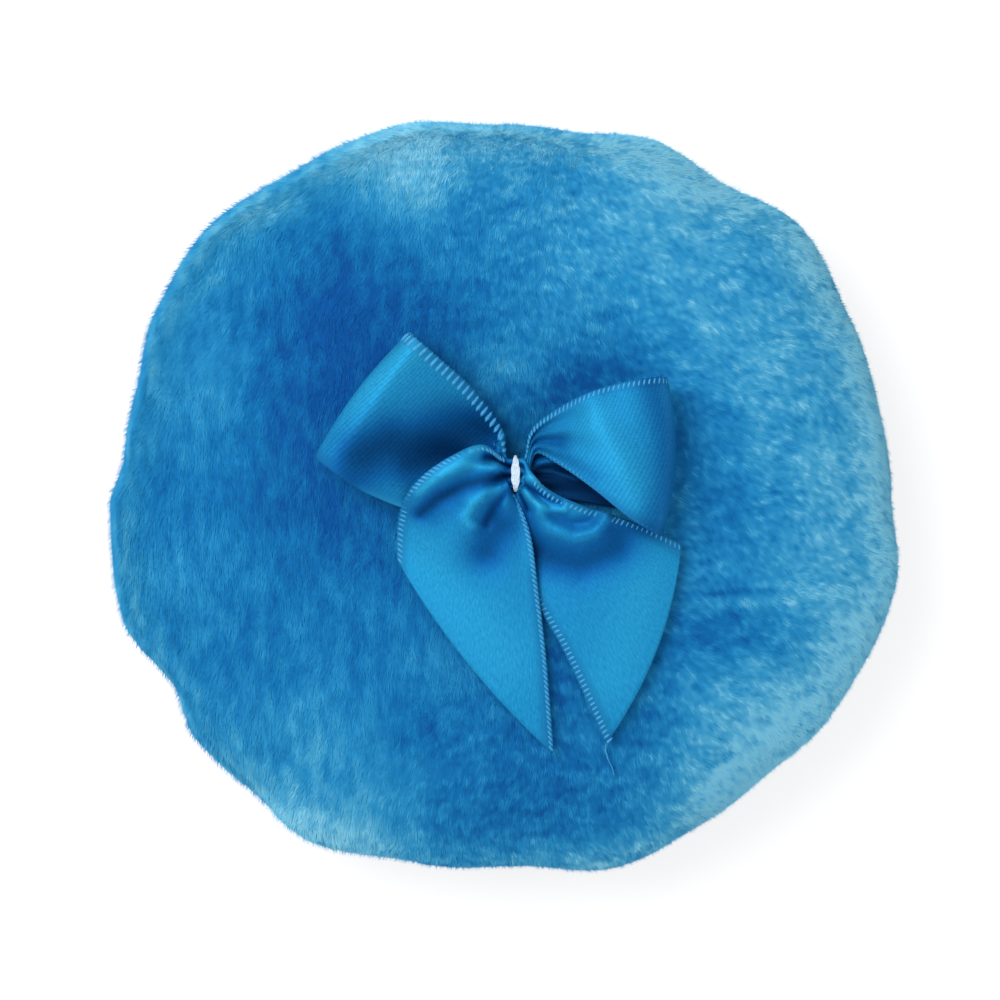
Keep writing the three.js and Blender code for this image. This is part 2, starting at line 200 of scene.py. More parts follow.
# %% Camera
camera_data = bpy.data.cameras.new("camera")
camera_data.sensor_width = 36
camera_data.lens = 340
camera_data.clip_start = 0.01
camera_data.clip_end = 10
camera = link_object("camera", camera_data)
camera.location = (-0.45 * mm, -0.42 * mm, 999 * mm)
bpy.context.scene.camera = camera
bpy.context.scene.view_settings.view_transform = "Standard"
print("camera looks straight down from", round(camera.location.z, 2), "m")

# %% [markdown]
# Materials
#
# A material is a tree of nodes. `node` adds one and fills its inputs: a key such as i0 is an input's
# number, any other its name, and a value is a constant or another node's output.

# %% Helpers for materials


def new_material(name):
    material = bpy.data.materials.new(name)
    material.use_nodes = True
    tree = material.node_tree
    return material, tree, tree.nodes["Principled BSDF"]


def set_inputs(tree, made, **inputs):
    for key, value in inputs.items():
        socket = made.inputs[int(key[1:]) if key[1:].isdigit() else key.replace("_", " ")]
        if isinstance(value, bpy.types.NodeSocket):
            tree.links.new(value, socket)
        else:
            socket.default_value = value
    return made


def node(tree, kind, settings=None, **inputs):
    made = tree.nodes.new("ShaderNode" + kind)
    for key, value in (settings or {}).items():
        setattr(made, key, value)
    return set_inputs(tree, made, **inputs)


def math_node(tree, operation, *values):
    inputs = {f"i{number}": value for number, value in enumerate(values)}
    return node(tree, "Math", {"operation": operation}, **inputs).outputs[0]


def mixed(tree, share, first, second, blend="MULTIPLY"):
    settings = {"data_type": "RGBA", "blend_type": blend}
    return node(tree, "Mix", settings, i0=share, i6=first, i7=second).outputs[2]


def attribute_node(tree, name):
    return node(tree, "Attribute", {"attribute_name": name}).outputs["Fac"]


def noise_node(tree, **inputs):
    places = tree.nodes.new("ShaderNodeTexCoord").outputs["Object"]
    return node(tree, "TexNoise", None, Vector=places, **inputs).outputs["Fac"]


def ramp(tree, share, stops):
    made = tree.nodes.new("ShaderNodeValToRGB")
    tree.links.new(share, made.inputs["Fac"])
    elements = made.color_ramp.elements
    while len(elements) < len(stops):
        elements.new(0.5)
    for element, (place, colour) in zip(elements, stops):
        element.position = place
        element.color = (*colour, 1)
    return made.outputs["Color"]


# %% Floor
floor_glow = 0.76
floor_bm = bmesh.new()
bmesh.ops.create_grid(floor_bm, x_segments=1, y_segments=1, size=3)
floor = add_piece("floor", floor_bm)
floor_material, tree, shader = new_material("pale floor")
light_path = tree.nodes.new("ShaderNodeLightPath")
seen = 0.0
for ray in ("Is Camera Ray", "Is Glossy Ray", "Is Transmission Ray"):
    seen = math_node(tree, "MAXIMUM", seen, light_path.outputs[ray])
set_inputs(tree, shader, Base_Color=(0.35, 0.35, 0.35, 1), Roughness=1, Specular_IOR_Level=0,
           Emission_Color=(1, 1, 1, 1), Emission_Strength=math_node(tree, "MULTIPLY", seen, floor_glow))
floor.data.materials.append(floor_material)

# %% [markdown]
# Light
#
# Two things light the puff: a sky that is bright low down and dimmer overhead, and one broad lamp at
# the upper left that gives the satin its bright and dark sides and the floor its shadow.

# %% World and lamp
low_sky = 1.0
high_sky = 0.45
world = bpy.data.worlds.new("studio")
world.use_nodes = True
bpy.context.scene.world = world
tree = world.node_tree
direction = node(tree, "SeparateXYZ", None, i0=tree.nodes.new("ShaderNodeTexCoord").outputs["Generated"])
sky = node(tree, "MapRange", None, Value=direction.outputs["Z"], To_Min=low_sky, To_Max=high_sky)
set_inputs(tree, tree.nodes["Background"], Color=(1, 1, 1, 1), Strength=sky.outputs[0])

lamp_data = bpy.data.lights.new("key", "AREA")
lamp_data.shape = "DISK"
lamp_data.size = 0.9
lamp_data.energy = 11.8
lamp = link_object("key", lamp_data)
lamp.location = (-0.6, 0.4, 1.2)
lamp.rotation_euler = (-lamp.location).to_track_quat("-Z", "Y").to_euler()
print("world and key lamp are set")

# %% [markdown]
# The covers
#
# A cover is a disc of plush, curved over the filling, with its backing turned in along the seam. Its
# outline from the middle to the rim is drawn as a chain of points, spun round the puff's axis, and
# then gathered into lobes. This is the cloth and the dense base of the pile; the strands come later.

# %% Profile of a cover
base_depth = 0.25 * mm
lowest_cloth = 0.6 * mm
arc_steps = 40
cover_steps = 240


def arc(radius, rise, fullness, edge, steps):
    last = np.arccos((edge / abs(rise)) ** (fullness / 2))
    turn = np.linspace(0, last, steps + 1)
    out = radius * np.sin(turn) ** (2 / fullness)
    return [(x, seam_height + rise * c) for x, c in zip(out, np.cos(turn) ** (2 / fullness))]


def spun(profile, steps):
    bm = bmesh.new()
    verts = [bm.verts.new((x, 0, z)) for x, z in profile]
    edges = [bm.edges.new(pair) for pair in zip(verts, verts[1:])]
    bmesh.ops.spin(bm, geom=verts + edges, axis=(0, 0, 1), cent=(0, 0, 0), angle=2 * np.pi,
                   steps=steps, use_merge=True)
    bmesh.ops.remove_doubles(bm, verts=bm.verts, dist=merge_distance)
    return bm


def cover_base(name, side, rise, fullness):
    edge = clearance / 2
    profile = arc(puff_radius - base_depth, side * (rise - base_depth), fullness, edge, arc_steps)
    allowance = puff_radius - cover_thickness - seam_allowance
    profile += [(allowance, seam_height + side * gap) for gap in (edge, edge + backing_thickness)]
    lining = arc(puff_radius - cover_thickness, side * (rise - cover_thickness), fullness,
                 edge + backing_thickness, arc_steps // 2)
    bm = spun(profile + lining[::-1], cover_steps)
    move_points(bm, gathered)
    if side < 0:
        for vert in bm.verts:
            vert.co.z = max(vert.co.z, lowest_cloth)
    bmesh.ops.recalc_face_normals(bm, faces=bm.faces)
    return add_piece(name, bm)


# %% [markdown]
# How the pile lies
#
# Plush looks darker where its pile lies flat and paler where it stands up and shows its tips. That is
# light falling on the pile, and here it is painted into the colour through the nap value. On this puff a
# hand has stroked it both ways, so soft patches of each lie over a slow change from the left, where it
# lies down, to the right, where it stands. Some patches are painted shade round the bow and between its
# tails, and the rim gets a painted pale sheen, taken back below the seam. Each patch has its middle, its
# two radii, its turn in degrees, and how much it raises the pile.

# %% Patches of the pile
nap_light_and_shade_patches = [
    (20.5, 20.5, 22, 13, -40, 0.26), (34, -4, 9, 20, 0, 0.3),
    (25.5, -26.5, 14, 12, 0, 0.42), (-7.8, 33, 8, 5, 0, 0.34),
    (11, 25, 10, 5, -20, 0.02), (16.5, 33, 7, 5, -35, 0.28),
    (0.2, 13.2, 4, 3, 10, 0.34), (23, 8.4, 6.5, 1.1, -29, -0.16),
    (-30.5, 12, 5, 6, 0, 0.22), (-19.3, -24.5, 9, 6, 0, 0.26),
    (-17, -32, 11, 5, 15, 0.26), (-6, -18.5, 4.5, 3, -30, 0.16),
    (-24.5, 29.4, 5, 2, 20, 0.3), (-14, 18, 13, 9, -30, -0.26),
    (-18.5, 7, 9, 8, 0, -0.24), (5.8, -29.7, 11, 8, 0, -0.14),
    (20, 4, 4, 8, 10, -0.22), (-3.6, 29.4, 2.6, 3.2, 0, -0.18),
    (26.7, -13.6, 5, 3, -10, -0.26), (19.4, -15, 4, 5, 0, -0.14),
    (9, 12.6, 8, 3.6, 14, -0.42), (26.7, -2, 6, 4, 0, -0.16),
    (14.2, -22.5, 4, 6, 20, -0.26), (-17, -2.6, 9, 4, -20, -0.16),
    (-8, -24, 6, 5, 0, -0.1), (-11.5, 34, 8, 6, 10, 0.3),
    (22, -15.5, 6, 4, 0, -0.15), (5, -17.5, 2.4, 6, 0, -0.2),
    (-33.5, -9, 6, 8, 0, 0.16), (-17, -35, 9, 3, -25, 0.2),
    (8, -38, 6, 3, 0, 0.2), (20, -29.5, 4, 3, 0, 0.14),
    (-30.5, 22.5, 3.4, 7, -40, 0.2), (23.6, -9.8, 3.2, 0.45, 5, -0.32),
    (23.2, -10.9, 3.4, 0.6, 5, 0.16), (-4.5, 33, 4, 3.5, 0, -0.14),
    (30.9, 24.7, 2.5, 2.5, 0, 0.14), (33.5, 8.5, 3.5, 3.5, 0, -0.14),
    (-27.6, -25.5, 4, 3, -45, 0.12), (35.1, -13, 3, 3, 0, 0.16),
    (-15.5, 28.8, 3.5, 2.5, 10, -0.12), (-31.8, 8, 3, 3.5, 0, 0.1),
    (-25.5, 24.7, 3.5, 2.5, 20, 0.1), (14, 21.5, 4, 4, 0, -0.11),
    (-13, -34, 5, 2.5, 0, 0.14),
]
calm_nap, right_nap = 0.3, 0.13
rim_start, rim_breadth = 0.87, 0.11
rim_sheen_nap, rim_sheen_nap_right = 0.28, 0.04
side_sheen_fade, side_reach = -0.24, 2.4 * mm
slant = 0.35


def nap_at(places):
    x, y, z = places.T
    angle = np.arctan2(y, x)
    share = np.hypot(x, y) / (puff_radius * (1 + rim_lobe(angle)))
    nap = calm_nap + right_nap * smooth((x / mm + slant * y / mm + 6) / 26)
    # Painted sheen: the rim is paler, most on the right.
    nap = nap + smooth((share - rim_start) / rim_breadth) * (rim_sheen_nap + rim_sheen_nap_right * np.cos(angle))
    # Below the seam the painted rim sheen is taken back, so the sides and underside are darker.
    nap = nap + side_sheen_fade * (1 - smooth((z - seam_height) / side_reach))
    # The patches paint the pile's light and shade, and painted shade round the bow.
    for middle_x, middle_y, long, wide, turn, rise in nap_light_and_shade_patches:
        dx, dy = x / mm - middle_x, y / mm - middle_y
        cos, sin = np.cos(np.radians(turn)), np.sin(np.radians(turn))
        away = ((dx * cos + dy * sin) / long) ** 2 + ((dy * cos - dx * sin) / wide) ** 2
        nap = nap + rise * np.exp(-away)
    return np.minimum(nap, 1)


# %% [markdown]
# Grain of the pile
#
# Fibres of plush cling together in small tufts, across the nap on the right, where they stand, and
# along it on the left, where they lie. Noise, stretched either way, gives both. `standing` says how
# much a place has of the right side's look. The grain is added to the nap value, so the tufts' light
# and shade are painted into the colour, and the small specks are painted glints on the tips of tufts.

# %% Grain
grain_across, grain_along, grain_glint_specks = 0.22, 0.2, 0.4


def ripple(places, size, seed, kind=noise.noise, *details):
    shift = Vector((17.3 * seed, 5.1 * seed, 9.7 * seed))
    return np.array([kind(Vector(place) / size + shift, *details) for place in places])


def tufts(places, size, seed):
    return ripple(places, size, seed, noise.fractal, 0.5, 2, 4)


def standing(places):
    return smooth((places[:, 0] / mm + slant * np.abs(places[:, 1]) / mm + 12) / 24)


def grain_at(places):
    right = standing(places)
    across = tufts(places * (0.6, 1.2, 1), 1.5 * mm, 4) * right
    along = tufts(places * (1.3, 0.5, 1), 1.8 * mm, 5) * (1 - right)
    # Painted glints on the tufts' tips, stronger where the pile stands.
    glint_specks = ripple(places, 0.52 * mm, 6) * (0.15 + 0.6 * right)
    return grain_across * across + grain_along * along + grain_glint_specks * glint_specks


# %% [markdown]
# The pile
#
# One strand is a slim three-sided cone. Blender's own hair would be quicker to comb, but it isn't a
# mesh that can be handed on. So the Array modifier repeats the cone, and numpy spreads the copies
# evenly, turned on by the golden angle from one to the next as seeds are in a sunflower.

# %% One strand, many times
strand_sides = 3
strand_width = 0.045 * mm
golden_turn = 2.399963
root_jitter = 0.0015


def strand_mesh(count):
    bm = bmesh.new()
    bmesh.ops.create_cone(bm, cap_ends=True, cap_tris=False, segments=strand_sides, radius1=1,
                          radius2=0, depth=1, matrix=Matrix.Translation((0, 0, 0.5)))
    bmesh.ops.remove_doubles(bm, verts=bm.verts, dist=0.001)
    bmesh.ops.triangulate(bm, faces=bm.faces)
    bmesh.ops.recalc_face_normals(bm, faces=bm.faces)
    strand = add_piece("strand", bm)
    one = np.array([vert.co for vert in strand.data.vertices])
    copies = strand.modifiers.new("copies", "ARRAY")
    copies.count = count
    copies.use_relative_offset = False
    apply_modifiers(strand)
    mesh = strand.data
    bpy.data.objects.remove(strand)
    return mesh, one


def out_and_up(turn, rise, fullness):
    out = (puff_radius - base_depth) * np.clip(np.sin(turn), 0, 1) ** (2 / fullness)
    return out, (rise - base_depth) * np.clip(np.cos(turn), 0, 1) ** (2 / fullness)


def even_roots(count, rise, fullness):
    turns = np.linspace(0, np.pi / 2, 2000)
    out, up = out_and_up(turns, rise, fullness)
    band = (out[1:] + out[:-1]) / 2 * np.hypot(np.diff(out), np.diff(up))
    area = np.concatenate(([0], np.cumsum(band)))
    number = np.arange(count) + 0.5
    return number * golden_turn, np.interp(number / count * area[-1], area, turns)


def plant_roots(random, count, side, rise, fullness):
    def place(angle, turn):
        out, up = out_and_up(turn, rise, fullness)
        return gathered(np.column_stack((out * np.cos(angle), out * np.sin(angle), seam_height + side * up)))

    step = 0.004
    angle, turn = even_roots(count, rise, fullness)
    angle = angle + random.normal(0, root_jitter, count)
    turn = np.clip(turn + random.normal(0, root_jitter, count), 0.001, np.pi / 2 - 0.001)
    roots = place(angle, turn)
    around = place(angle + step, turn) - roots
    down = place(angle, np.minimum(turn + step, np.pi / 2)) - place(angle, turn - step)
    return roots, unit(np.cross(down, around)) * side


# %% [markdown]
# Combing the pile
#
# Each strand leans the way that the nap goes there, with small differences, and a few stray ones stand
# up. On the left the pile lies almost flat, on the right it is shorter and stands more, and at the rim
# it hangs down and frays. Leans are in degrees from upright, lengths in mm.

# %% How strands lean
comb_left, comb_turn = -95, 55
comb_drift, comb_clump, comb_spread = 0.6, 0.45, 0.16
rim_hang = 0.7
flat_lean, nap_lean, right_lean, rim_lean, lean_spread = 85, 14, 6, 6, 0.04
stray_rise, strays, rim_strays = 0.45, 0.04, 0.1
strand_length, right_shorter, length_ripple, length_spread = 1.2, 0.4, 0.25, 0.06


def comb_strands(random, roots, normal, nap):
    count = len(roots)
    right = standing(roots)
    rim = 1 - np.abs(normal[:, 2])
    swirl = np.radians(comb_left + comb_turn * smooth((roots[:, 0] / mm + 5) / 30))
    swirl = swirl + comb_drift * ripple(roots, 9 * mm, 2) + comb_clump * ripple(roots, 0.9 * mm, 1)
    swirl = swirl + random.normal(0, comb_spread, count)
    comb = np.stack((np.cos(swirl), np.sin(swirl), -rim_hang * rim), axis=1)
    comb = unit(comb - normal * np.sum(comb * normal, axis=1, keepdims=True))
    lean = np.radians(flat_lean - nap_lean * np.clip(nap, 0, 1) - right_lean * right - rim_lean * rim)
    lean = lean + random.normal(0, lean_spread, count)
    lean = lean - stray_rise * (random.uniform(0, 1, count) < strays + rim_strays * rim)
    length = strand_length - right_shorter * right + length_ripple * ripple(roots, 1.2 * mm, 3)
    length = (length + random.normal(0, length_spread, count)) * mm
    way = normal * np.cos(lean)[:, None] + comb * np.sin(lean)[:, None]
    return way, length, unit(np.cross(comb, normal))


# %% [markdown]
# Shading the pile
#
# A real pile scatters light as one soft surface, not as thousands of cones. So each strand takes most
# of its shading normal from the cloth below it, turned up at the rim, where one looks into the tips.

# %% A cover's strands
lowest_strand = 0.05 * mm
rim_brush = 1.6


def plant_pile(name, count, side, rise, fullness):
    mesh, one = strand_mesh(count)
    random = np.random.default_rng(7)
    roots, normal = plant_roots(random, count, side, rise, fullness)
    nap = nap_at(roots) + grain_at(roots)
    way, length, sideways = comb_strands(random, roots, normal, nap)
    width = strand_width * random.uniform(0.85, 1.15, count)
    tip = roots + way * length[:, None]
    points = np.empty((count, len(one), 3))
    for i, (u, v, w) in enumerate(one):
        middle = tip if w > 0.5 else roots
        points[:, i] = middle + (sideways * u + np.cross(way, sideways) * v) * width[:, None]
    if side < 0:
        points[:, :, 2] = np.maximum(points[:, :, 2], lowest_strand)
    mesh.vertices.foreach_set("co", points.ravel().astype(np.float32))
    add_values(mesh, "along", np.tile(one[:, 2], count))
    add_values(mesh, "nap", np.repeat(nap, len(one)))
    add_values(mesh, "tone", np.repeat(random.uniform(0, 1, count), len(one)))
    map_pile(mesh, count, one)
    brushed_up = np.outer(1 - np.abs(normal[:, 2]), (0, 0, rim_brush))
    soft = unit(0.93 * normal + 0.07 * way + brushed_up)
    mesh.shade_smooth()
    mesh.normals_split_custom_set_from_vertices(np.repeat(soft, len(one), axis=0).astype(np.float32))
    mesh.update()
    pile = link_object(name, mesh)
    print(name, "has", count, "strands,", triangles(pile), "triangles")
    return pile


# %% [markdown]
# Plush
#
# The colour runs from a deep blue where the pile lies flat to a pale one where it stands, which is
# painted light and shade of the pile. Then it runs from roots darkened by painted shade deep in the pile
# to light tips, and it differs a little from strand to strand. Sheen adds the bloom that cloth has at
# its edge.

# %% The plush material
mottle_depth = 0.24
plush, tree, shader = new_material("blue plush")
mottle = noise_node(tree, Scale=420, Detail=3)
level = math_node(tree, "MULTIPLY_ADD", mottle, mottle_depth, attribute_node(tree, "nap"))
# The last stop, above 1 in blue, paints extra brightness into the palest pile at the rim.
colour = ramp(tree, math_node(tree, "SUBTRACT", level, mottle_depth / 2), [
    (0.0, (0.004, 0.12, 0.45)), (0.3, (0.01, 0.26, 0.65)), (0.58, (0.035, 0.42, 0.84)),
    (0.8, (0.12, 0.62, 0.98)), (1.0, (0.33, 0.9, 1.2)),
])
# The along ramp paints shade at the roots; tone differs at random from strand to strand.
for name, full, dark in (("along", 0.6, (0.92, 0.94, 0.95)), ("tone", 1.0, (0.9, 0.92, 0.94))):
    shade = ramp(tree, attribute_node(tree, name), [(0.0, dark), (full, (1, 1, 1))])
    colour = mixed(tree, 1.0, colour, shade)
set_inputs(tree, shader, Base_Color=colour, Roughness=0.7, Specular_IOR_Level=0.05, Sheen_Weight=1,
           Sheen_Roughness=0.4, Sheen_Tint=(0.3, 0.8, 1, 1))


# %% [markdown]
# Room on the map
#
# On export, the colours are painted on a picture, where every face needs its own place. For a quarter
# of a million strands that is laid out by rule: each gets a small square of a big grid, with its sides
# next to each other, and the cloth is unrolled in a strip below.

# %% A map for a cover
base_strip = 0.12


def lay_map(mesh, uv):
    mesh.uv_layers.new(name="OFBake").data.foreach_set("uv", uv.ravel().astype(np.float32))


def map_base(mesh):
    corners = np.empty(len(mesh.loops), dtype=np.int64)
    mesh.loops.foreach_get("vertex_index", corners)
    points = np.array([vert.co for vert in mesh.vertices])[corners]
    radial = np.hypot(points[:, 0], points[:, 1]) / (1.1 * puff_radius)
    turn = np.arctan2(points[:, 1], points[:, 0])
    inner = np.zeros(len(corners))
    for face in mesh.polygons:
        span = slice(face.loop_start, face.loop_start + face.loop_total)
        part = turn[span]
        turn[span] = np.where(part < part.max() - np.pi, part + 2 * np.pi, part)
        inner[span] = 0.5 * (face.normal.z * (face.center.z - seam_height) < 0)
    lay_map(mesh, np.stack(((turn / np.pi + 1) / 3.1, base_strip * (inner + 0.48 * radial)), axis=1))


def map_pile(mesh, count, one):
    side = int(np.ceil(np.sqrt(count)))
    cell = np.arange(count)
    corner = np.stack((cell % side / side, base_strip + (1 - base_strip) * (cell // side) / side), axis=1)
    faces = np.array([tuple(face.vertices) for face in list(mesh.polygons)[:strand_sides + 1]])
    inside = np.empty((len(faces), 3, 2))
    left = 0
    for number, face in enumerate(faces):
        tip = one[face][:, 2] > 0.5
        if tip.any():
            inside[number, tip] = (left + 0.16, 0.9)
            inside[number, ~tip] = ((left + 0.02, 0.1), (left + 0.3, 0.1))
            left += 1 / strand_sides
        else:
            inside[number] = ((0.1, 0.02), (0.9, 0.02), (0.5, 0.08))
    scale = (1 / side, (1 - base_strip) / side)
    lay_map(mesh, corner[:, None, None, :] + inside[None] * scale)


# %% Both covers


def dress_cover(node_name, count, side, rise, fullness):
    base = cover_base(node_name + "_plush", side, rise, fullness)
    pile = plant_pile(node_name + "_pile", count, side, rise, fullness)
    # The cloth below the strands gets the same painted light and shade.
    add_values(base.data, "nap", nap_at(np.array([vert.co for vert in base.data.vertices])))
    map_base(base.data)
    bpy.ops.object.select_all(action="DESELECT")
    for piece in (base, pile):
        piece.data.materials.append(plush)
        piece.select_set(True)
    bpy.context.view_layer.objects.active = base
    bpy.ops.object.join()
    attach(base, "root")
    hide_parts(node_name)
    return base


top = dress_cover("top_cover", 240000, 1, crown_rise, crown_fullness)
bottom = dress_cover("bottom_cover", 70000, -1, underside_drop, underside_fullness)
print("top cover:", triangles(top), "triangles; bottom cover:", triangles(bottom))

# %% [markdown]
# The bow
#
# The bow is two strips of satin ribbon. One is a ring, pressed flat at the waist so that it makes both
# loops; the other lies over it and hangs down as two tails, each cut on a slant. Both are pleated where
# the thread binds them. A ribbon is a grid of faces laid along a row of stations: each says where the
# two selvedges are, how deep the pleats are there, and how far the middle bulges, all as shares of the
# bow's size.

# %% Stations of the ribbons
pleat_count = 3
pleat_depth = 1.1 * mm
left_loop = [
    (-0.07, 0.29, 0.27, -0.15, -0.17, 0.22, 0.5, 0),
    (-0.22, 0.55, 0.5, -0.44, -0.25, 0.34, 0.35, 0.03),
    (-0.4, 0.76, 0.83, -0.72, -0.14, 0.6, 0.05, 0.08),
    (-0.5, 0.87, 0.88, -0.89, -0.01, 0.72, 0, 0.1),
    (-0.53, 0.9, 0.53, -1, 0.11, 0.45, 0, 0.03),
    (-0.48, 0.82, 0.18, -0.84, 0.02, 0.13, 0, 0.02),
    (-0.3, 0.53, 0.1, -0.56, -0.12, 0.08, 0.1, 0),
    (-0.12, 0.25, 0.04, -0.18, -0.14, 0.04, 0.2, 0),
]
right_loop = [
    (0.15, 0.22, 0.04, 0.17, -0.14, 0.04, 0.3, 0),
    (0.42, 0.4, 0.1, 0.42, -0.2, 0.1, 0.1, 0),
    (0.69, 0.54, 0.18, 0.66, -0.28, 0.15, 0, 0.02),
    (0.755, 0.6, 0.53, 0.735, -0.37, 0.5, 0, 0.03),
    (0.73, 0.62, 0.88, 0.7, -0.385, 0.83, 0, 0.08),
    (0.62, 0.605, 0.98, 0.585, -0.3, 0.9, 0, 0.08),
    (0.4, 0.535, 0.83, 0.38, -0.09, 0.77, 0.1, 0.05),
    (0.2, 0.41, 0.53, 0.2, 0.07, 0.42, 0.3, 0),
    (0.08, 0.28, 0.25, 0.1, 0.13, 0.2, 0.3, 0),
]
left_tail = [
    (-0.17, 0.18, 0.82, 0, -0.16, 0.43, 0.8, 0),
    (-0.32, 0.11, 0.93, 0.045, -0.28, 0.36, 0.5, 0),
    (-0.46, -0.01, 0.83, 0.08, -0.43, 0.28, 0.25, 0),
    (-0.55, -0.15, 0.57, 0.11, -0.72, 0.22, 0.08, 0.05),
    (-0.59, -0.34, 0.27, 0.15, -1.16, 0.18, 0, 0.03),
    (-0.59, -0.56, 0.2, 0.19, -1.81, 0.24, 0, 0),
]
right_tail = [
    (0.07, 0.02, 0.62, -0.01, -0.17, 0.28, 0.3, 0),
    (0.16, -0.1, 0.53, 0, -0.3, 0.12, 0.4, 0),
    (0.32, -0.2, 0.48, 0.02, -0.5, 0.08, 0.2, 0.05),
    (0.54, -0.29, 0.42, 0.08, -0.77, 0.07, 0.05, 0.07),
    (0.71, -0.38, 0.32, 0.24, -1.14, 0.12, 0, 0.05),
    (0.83, -0.46, 0.2, 0.455, -1.745, 0.2, 0, 0),
]
left_bows = {3: (-0.4, 0.3), 4: (-0.5, 0.4), 5: (-0.4, 0.3)}
right_bows = {2: (0.6, 0), 3: (1, 0), 4: (0.7, 0), 5: (0.3, 0)}
left_tail_bows = {5: (-0.9, -0.5)}
right_tail_bows = {4: (0.5, -0.1), 5: (1.4, -0.4)}
print("stations of the loops and tails:", len(left_loop + right_loop), len(left_tail + right_tail))

# %% Rows of points
columns = 64
rows_each = 16
across = np.linspace(0, 1, columns + 1)
belly = 4 * across * (1 - across)


def ribbon_row(upper, lower, pleat, bulge):
    row = np.outer(1 - across, upper) + np.outer(across, lower)
    wave = np.sin(2 * np.pi * pleat_count * across)
    row[:, 2] += crown_height(row[:, 0], row[:, 1]) + bulge * belly
    row[:, 2] += pleat * wave / 2
    return row


def station_row(shares):
    upper, lower = ((waist.x + x * bow_reach, waist.y + y * ribbon_width, z * bow_rise)
                    for x, y, z in (shares[:3], shares[3:6]))
    pleat, bulge = shares[6:]
    return ribbon_row(upper, lower, pleat * 1.6 * pleat_depth, bulge * bow_rise)


def bowed_rows(table, bows):
    rows = [station_row(shares) for shares in table]
    for number, (x, y) in bows.items():
        rows[number] += np.outer(belly, (x * mm, y * mm, 0))
    return rows


def neck_rows(layer, side):
    lift = waist_lift + layer * layer_step
    half = waist_width / 2
    ends = [waist.x + end * neck_length / 2 for end in (side, -side)]
    return [ribbon_row((x, waist.y + half, lift), (x, waist.y - half, lift), pleat_depth, 0) for x in ends]


def smooth_rows(rows, ring):
    rows = np.array(rows)
    if ring:
        chain = np.concatenate((rows[-1:], rows, rows[:2]))
    else:
        chain = np.concatenate((2 * rows[:1] - rows[1:2], rows, 2 * rows[-1:] - rows[-2:-1]))
    made = []
    for a, b, c, d in zip(chain, chain[1:], chain[2:], chain[3:]):
        ab, bc, cd = (np.linalg.norm(q - p, axis=1, keepdims=True) ** 0.5 + 1e-9
                      for p, q in ((a, b), (b, c), (c, d)))
        leave = ((b - a) / ab - (c - a) / (ab + bc) + (c - b) / bc) * bc
        arrive = ((c - b) / bc - (d - b) / (bc + cd) + (d - c) / cd) * bc
        for t in np.arange(rows_each) / rows_each:
            made.append((2 * t ** 3 - 3 * t ** 2 + 1) * b + (t ** 3 - 2 * t ** 2 + t) * leave
                        + (3 * t ** 2 - 2 * t ** 3) * c + (t ** 3 - t ** 2) * arrive)
    made.append(made[0] if ring else rows[-1])
    return np.array(made)


# %% [markdown]
# Folds
#
# Pleats alone look like a fan of paper. The real ribbon also has soft hollows and rolls: the tails
# are pushed up into ridges beside the waist, and the loops sag between their selvedges. Each is a path
# seen from above, in millimetres from the waist, with a height, a width and how much shade is painted
# into the satin there, where a negative amount paints a highlight, and it moves only its own stretch
# of ribbon. The painted shade darkens hollows, valleys and the inside of the loops.

# %% Folds of each stretch
# Columns: path, height, width, painted shade; a negative shade paints a highlight, and a fold of height 0
# only paints.
loop_folds = {
    (2, 6): [
        ([(-16.6, 1.6), (-12.6, 2.8), (-8, 3.2), (-3.4, 4.4)], -0.9, 3.3, 0.66),
        ([(-15.6, 0), (-15.4, 2.6), (-13, 4)], 0, 2, 0.3),
        ([(-10.8, 0.8), (-5.6, 2.2)], -0.3, 2, 0.6),
        ([(-8.4, 5.6), (-3.6, 5.2)], 0, 2, 0.2),
        ([(-10, 13.6), (-14.9, 9.2), (-18.6, 2.8)], 0.4, 2, -0.2),
        ([(-15.6, -2.4), (-12, -3.8), (-8.4, -5)], 0.2, 0.9, -0.5),
    ],
    (8, 10): [([(-9, 0), (-2, 0)], 0, 4, 0.7)],
    (11, 14.5): [
        ([(2, 0), (5, 0), (10, -2)], 0, 4.6, 0.93),
        ([(0.6, 0.9), (3, 1.3), (5.4, 1.5)], 0.5, 0.4, -3),
        ([(0.6, 0.2), (4, 0.2), (6.4, -0.6)], 0.4, 0.3, -1.5),
    ],
    (15, 21): [
        ([(13.9, 9.5), (15.4, 4), (15.4, -1), (14, -5.4)], 0, 1.7, 0.42),
        ([(2, 3.2), (4.6, 3.4)], -0.4, 1, 0.35),
        ([(7, 9.4), (8.4, 4.8), (13, -3)], 0.5, 1.8, -0.16),
        ([(2.6, 5.6), (5, 7.4), (9, 9)], 0, 1.2, 0.2),
        ([(4.4, 2.8), (8, -0.4)], 0, 0.8, 0.2),
    ],
}
